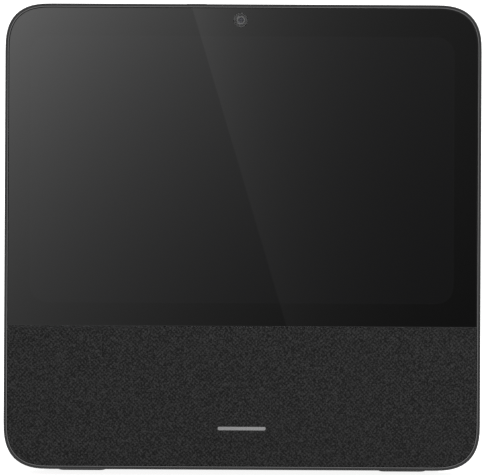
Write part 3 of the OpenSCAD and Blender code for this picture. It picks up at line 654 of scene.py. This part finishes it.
def metal(name, tone, roughness, metallic=1.0, stretch=(1, 1, 1)):
    """Plated or cast metal: clouded tone and fine streaks or grain."""
    plate = Finish(name, Metallic=metallic, IOR=1.5)
    streak = plate.noise(420, 3, 0.6, stretch)
    cloud = plate.noise(35, 3)
    plate.feed(Base_Color=plate.blend(cloud * 0.7 + streak * 0.3, tuple(c * 0.85 for c in tone),
                                      tuple(min(c * 1.1, 1) for c in tone)),
               Roughness=streak * 0.15 + roughness - 0.07)
    plate.bump(streak, 0.01 * MM, 0.5)
    return plate.material


steel = metal("plated_steel", (0.5, 0.5, 0.5), 0.32, stretch=(1, 1, 6))
finish_node("cover_screws", metal("black_screws", (0.12, 0.12, 0.125), 0.35), 0.15 * MM)
for node in ("backlight_tray", "left_basket", "right_basket", "speaker_screws", "box_screws",
             "board_shields", "board_screws"):
    finish_node(node, steel)
finish_node("mid_chassis", metal("cast_alloy", (0.42, 0.42, 0.43), 0.5))
finish_node("heat_sink", metal("extruded_alloy", (0.62, 0.62, 0.63), 0.4, stretch=(1, 1, 0.1)))
magnet = metal("coated_magnet", (0.1, 0.1, 0.11), 0.5, 0.5)
for node in ("left_magnet", "right_magnet"):
    finish_node(node, magnet)

# ---------------------------------------------------------------------------------------------
# Plastic inside. The carrier under the cloth, the speaker box with its lid, the radiator's
# frame and the power inlet are black moulded plastic.

inner_plastic = moulded("black_moulding", (0.02, 0.02, 0.021), 1200)
for node in ("grille_carrier", "speaker_box", "speaker_box_lid", "bass_frame"):
    finish_node(node, inner_plastic)
finish_node("power_inlet", inner_plastic, 0.25 * MM)

# ---------------------------------------------------------------------------------------------
# Speaker cones. Pressed paper cones and the stiff plate of the bass radiator, with rubber
# surrounds and a cloth spider. Each cone rides its own body.


def pressed(name, dark, light, scale):
    """Felted paper or stiffened cloth: short fibres and a dry surface."""
    pulp = Finish(name, IOR=1.4)
    fibre = pulp.noise(scale, 5, 0.7)
    pulp.feed(Base_Color=pulp.blend(fibre, dark, light), Roughness=fibre * 0.2 + 0.75)
    pulp.bump(fibre, 0.06 * MM, 0.8)
    return pulp.material


paper = pressed("pressed_paper", (0.02, 0.02, 0.02), (0.06, 0.06, 0.058), 800)
for node in ("left_cone", "right_cone", "bass_radiator"):
    finish_node(node, paper)
stiff_cloth = pressed("stiff_cloth", (0.3, 0.2, 0.05), (0.5, 0.36, 0.12), 1500)
for node in ("left_spider", "right_spider"):
    finish_node(node, stiff_cloth)

# ---------------------------------------------------------------------------------------------
# Rubber. Surrounds, microphone sleeves, wires and foam inside; outside, four moulded feet
# that are let into the base and glued.


def rubber_finish(name, tone, scale, depth):
    """Matt rubber: a soft grain with dusty, paler high spots."""
    rubber = Finish(name, IOR=1.5)
    rubber.shader.inputs["Specular IOR Level"].default_value = 0.2
    grain = rubber.noise(scale, 4, 0.6)
    dust = rubber.noise(60, 5, 0.6)
    rubber.feed(Base_Color=rubber.blend(dust * 0.5, tone, tuple(c * 1.9 for c in tone)),
                Roughness=grain * 0.15 + 0.7)
    rubber.bump(grain, depth, 0.7)
    return rubber.material


soft_rubber = rubber_finish("soft_rubber", (0.012, 0.012, 0.012), 1100, 0.02 * MM)
for node in ("left_surround", "right_surround", "bass_surround", "mic_gaskets",
             "display_gasket", "power_lead", "speaker_leads"):
    finish_node(node, soft_rubber)
foot_rubber = rubber_finish("foot_rubber", (0.016, 0.016, 0.016), 1500, 0.03 * MM)
for node in ("front_feet", "rear_feet"):
    finish_node(node, foot_rubber, 0.3 * MM)
finish_node("thermal_pad", rubber_finish("thermal_putty", (0.2, 0.3, 0.38), 500, 0.03 * MM))

# ---------------------------------------------------------------------------------------------
# Boards and foils. Glass-epoxy boards under green mask, and amber film with copper in it for
# the flat cables and the two antennas.


def masked(name, tone, line):
    """Solder mask over tracks: straight lighter runs in a fine grid under a thin gloss."""
    board = Finish(name, IOR=1.5, Roughness=0.35)
    runs = board.noise(180, 1, 0.3, (1, 1, 0.08)) > 0.56
    rows = board.noise(180, 1, 0.3, (0.08, 1, 1)) > 0.58
    board.feed(Base_Color=board.blend(runs * 0.5 + rows * 0.5, tone, line))
    return board.material


green_board = masked("green_board", (0.008, 0.05, 0.02), (0.02, 0.1, 0.04))
for node in ("main_board", "top_board", "volume_board"):
    finish_node(node, green_board)
amber_film = masked("amber_film", (0.35, 0.13, 0.02), (0.5, 0.25, 0.06))
for node in ("camera_flex", "display_flex", "left_antenna", "right_antenna"):
    finish_node(node, amber_film)

# ---------------------------------------------------------------------------------------------
# Studio. A wide pale floor in even light, a large soft lamp in front on the upper left and a
# small one behind on the right. A graded card that only mirrors see gives the glass a broad
# soft reflection.

FLOOR_R = 6.0
floor_mesh = bpy.data.meshes.new("studio_floor")
bm = bmesh.new()
bmesh.ops.create_circle(bm, cap_ends=True, segments=96, radius=FLOOR_R)
bm.to_mesh(floor_mesh)
bm.free()
floor = bpy.data.objects.new("studio_floor", floor_mesh)
bpy.context.collection.objects.link(floor)
pale = Finish("pale_floor", Roughness=0.9, Emission_Color=(1, 1, 1, 1), Emission_Strength=0.9)
pale.shader.inputs["Specular IOR Level"].default_value = 0.0
pale.feed(Base_Color=pale.blend(pale.noise(3, 2), (0.4, 0.4, 0.4), (0.43, 0.43, 0.43)))
floor_mesh.materials.append(pale.material)

SKY_LEVEL = 1.05
world = bpy.data.worlds.new("studio")
world.use_nodes = True
world.node_tree.nodes["Background"].inputs["Color"].default_value = (1, 1, 1, 1)
world.node_tree.nodes["Background"].inputs["Strength"].default_value = SKY_LEVEL
bpy.context.scene.world = world

# The view is from half a degree to the right of square-on to the face and half a degree below.
# SENSOR and FOCAL are in millimetres, and VIEW_W is the width that the view takes in.
VIEW_UP, VIEW_SIDE, VIEW_ROLL = LEAN - math.radians(0.5), math.radians(0.5), math.radians(0.2)
SENSOR, FOCAL, VIEW_W = 36.0, 1000.0, 249.2 * MM
lens_away = VIEW_W * FOCAL / SENSOR
face_middle = at(0, SLAB_T / 2, FACE_H / 2)

# The card stands in front of the face, where the glass mirrors it to the view, and is larger
# than the face by the spread of the view and a margin.
CARD_AWAY, CARD_MARGIN = 0.6, 1.08
spread = 1 + CARD_AWAY / lens_away
card_x = -CARD_AWAY * math.tan(VIEW_SIDE)
card_v = FACE_H / 2 + CARD_AWAY * math.tan(LEAN - VIEW_UP)
card_mesh = bpy.data.meshes.new("graded_card")
card_mesh.from_pydata([
    at(card_x + side * HALF_W * spread * CARD_MARGIN, -CARD_AWAY,
       card_v + up * FACE_H / 2 * spread * CARD_MARGIN)
    for side, up in ((-1, -1), (1, -1), (1, 1), (-1, 1))], [], [(0, 1, 2, 3)])
card = bpy.data.objects.new("graded_card", card_mesh)
bpy.context.collection.objects.link(card)
glow = Finish("graded_glow")
card_across, _, card_up = glow.split(glow.place())
middle_z = at(0, -CARD_AWAY, card_v)[2]
right = (card_across - card_x) * (1 / spread)
down = (middle_z - card_up) * (1 / (spread * COS)) + FACE_H / 2

# The light fades to the right and downwards, and is a step brighter past a slanting edge. Its
# level is e to the power of a sum of places in metres: right of the middle and down from the
# top of the face. The glass mirrors MIRROR_SHARE of it.
MIRROR_SHARE = 0.04
LEFT_ACROSS, LEFT_DOWN, LEFT_DIM = -8.9, -7.4, 3.23
RIGHT_ACROSS, RIGHT_BEND, RIGHT_DOWN, RIGHT_DIM = -15.4, 44, -4.9, 3.207
EDGE_SLANT, EDGE_RIGHT = 0.302, -0.027
left_side = math.e ** (right * LEFT_ACROSS + down * LEFT_DOWN - LEFT_DIM)
right_side = math.e ** (
    right * RIGHT_ACROSS + right * right * RIGHT_BEND + down * RIGHT_DOWN - RIGHT_DIM)
beyond = right - down * EDGE_SLANT > EDGE_RIGHT
light = (left_side * (1 - beyond) + right_side * beyond) * (1 / MIRROR_SHARE)
shine = glow.node("Emission", {}, {"Color": light})
glow.tree.links.new(shine.socket, glow.end.inputs[0])
card_mesh.materials.append(glow.material)
for seen in ("visible_camera", "visible_diffuse", "visible_transmission", "visible_shadow"):
    setattr(card, seen, False)

for name, place, size, power in (
    ("soft_lamp", (-1.3, -1.5, 1.9), 1.6, 16), ("back_lamp", (1.6, 1.2, 1.4), 0.6, 60),
):
    soft = bpy.data.lights.new(name, "AREA")
    soft.shape, soft.size, soft.energy = "DISK", size, power
    lamp = bpy.data.objects.new(name, soft)
    lamp.location = place
    lamp.rotation_mode = "QUATERNION"
    lamp.rotation_quaternion = (lamp.location - face_middle).to_track_quat("Z", "Y")
    bpy.context.collection.objects.link(lamp)

# Long lens, aimed a fraction of a millimetre beside and below the middle of the face.
AIM_SHIFT = Vector((-0.14, 0, -0.17)) * MM
CLIP_END = 100
camera_data = bpy.data.cameras.new("studio_camera")
camera_data.sensor_width, camera_data.lens = SENSOR, FOCAL
camera_data.clip_end = CLIP_END
camera = bpy.data.objects.new("studio_camera", camera_data)
back = Vector((math.sin(VIEW_SIDE) * math.cos(VIEW_UP), -math.cos(VIEW_SIDE) * math.cos(VIEW_UP),
               math.sin(VIEW_UP)))
camera.location = face_middle + AIM_SHIFT + back * lens_away
camera.rotation_mode = "QUATERNION"
camera.rotation_quaternion = back.to_track_quat("Z", "Y")
camera.rotation_quaternion.rotate(Quaternion(back, VIEW_ROLL))
bpy.context.collection.objects.link(camera)
bpy.context.scene.camera = camera
bpy.context.scene.view_settings.view_transform = "Standard"
